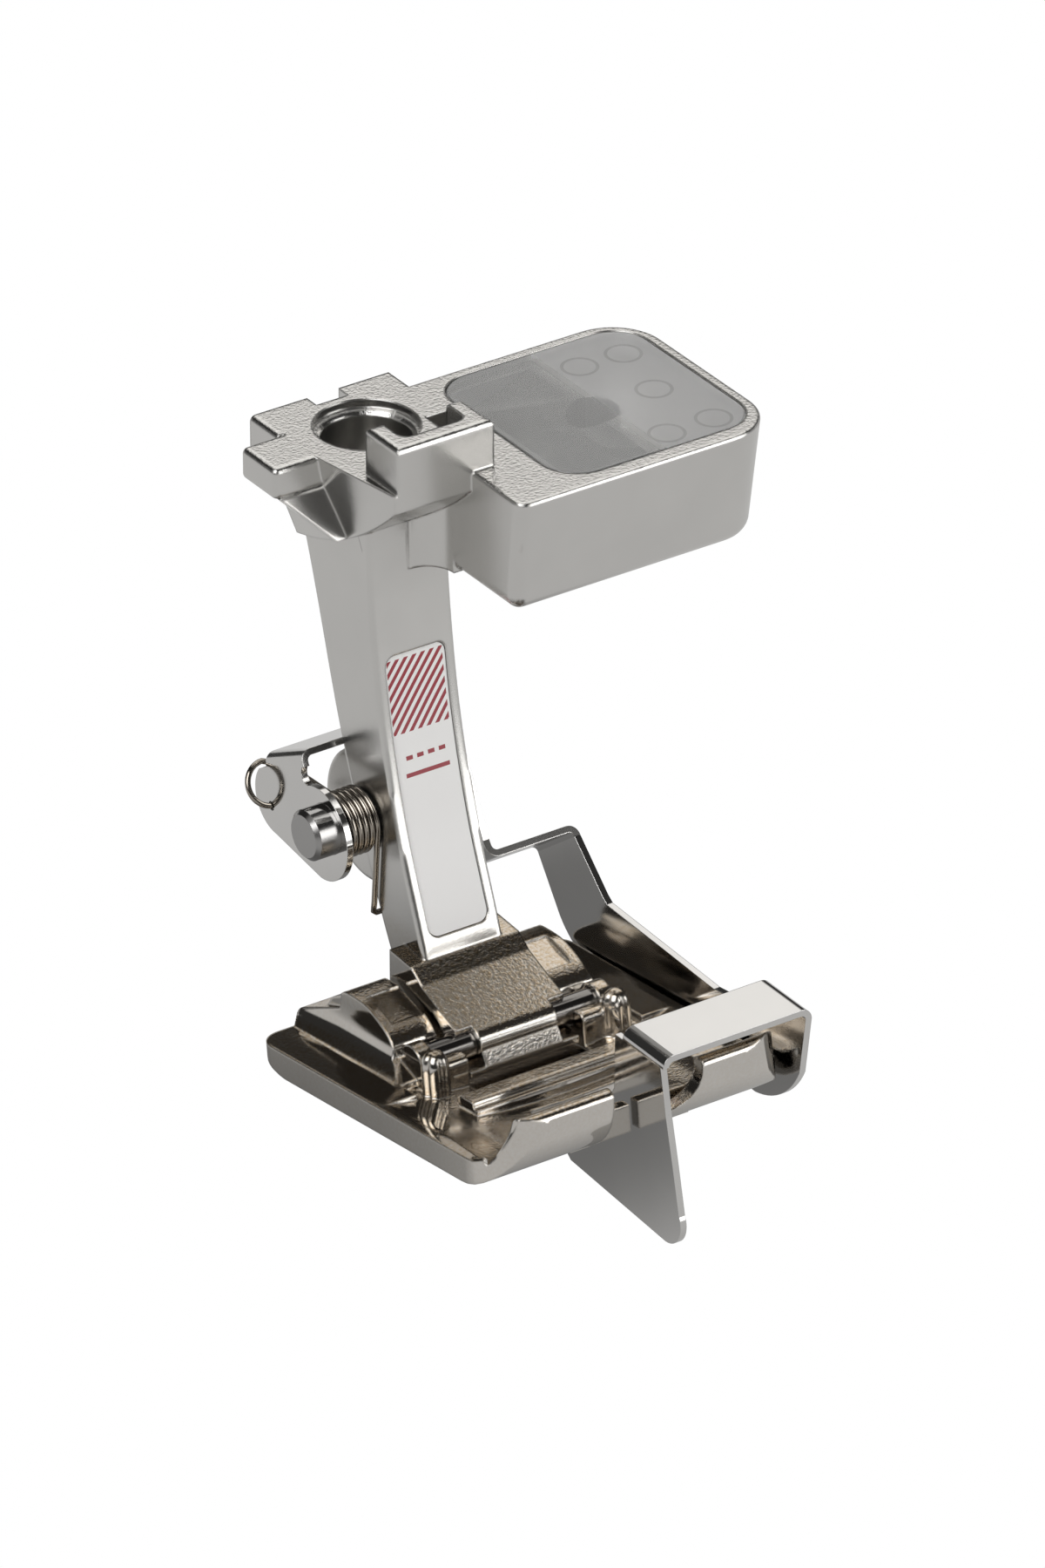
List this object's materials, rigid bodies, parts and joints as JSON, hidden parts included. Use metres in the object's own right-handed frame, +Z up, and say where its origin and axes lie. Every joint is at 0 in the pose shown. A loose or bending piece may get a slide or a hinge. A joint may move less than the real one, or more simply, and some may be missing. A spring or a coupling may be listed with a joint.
{
  "type": "sewing machine presser foot",
  "caption": "Clamp-on presser foot: die-cast shank with bar socket, clear sensor prism, rocking sole and a sprung, folded edge guide with a blade between the toes.",
  "frame": {"origin": "on the presser bar socket's axis at the top of its wall, under the lip ring and the chamfer", "axes": "+Z up along the presser bar socket, -Y to the foot's front where the toes are, +X to the foot's right where the sensor box is"},
  "size_m": [0.0364, 0.0424, 0.0519],
  "materials": {
    "plated_casting": "satin nickel plate on a die casting",
    "clear_plastic": "clear moulded plastic, polished",
    "label": "printed label, white with red diagonal stripes",
    "plated_sole": "nickel plate, sandy floor between polished ribs",
    "dark_steel": "dark steel",
    "bright_sheet": "polished plated sheet",
    "bright_pin": "turned steel",
    "spring_wire": "drawn wire"
  },
  "bodies": {
    "shank": {"shank_casting": "plated_casting", "sensor_prism": "clear_plastic", "label_plate": "label", "guide_spring": "spring_wire"},
    "sole": {"sole_plate": "plated_sole", "sole_hinge_pin": "dark_steel"},
    "guide": {"edge_guide": "bright_sheet", "guide_pivot_pin": "bright_pin"}
  },
  "joints": [
    {"name": "sole_tilt", "type": "hinge", "parent": "shank", "child": "sole", "pos_m": [0, -0.0172, -0.03895], "axis": [1, 0, 0], "range_deg": [-2.5, 12]},
    {"name": "guide_lift", "type": "hinge", "parent": "shank", "child": "guide", "pos_m": [0, -0.00425, -0.027], "axis": [-1, 0, 0], "range_deg": [0, 12], "stiffness_Nm_per_rad": 0.01, "springref_deg": -22.92, "deforming": ["guide_spring"]}
  ]
}
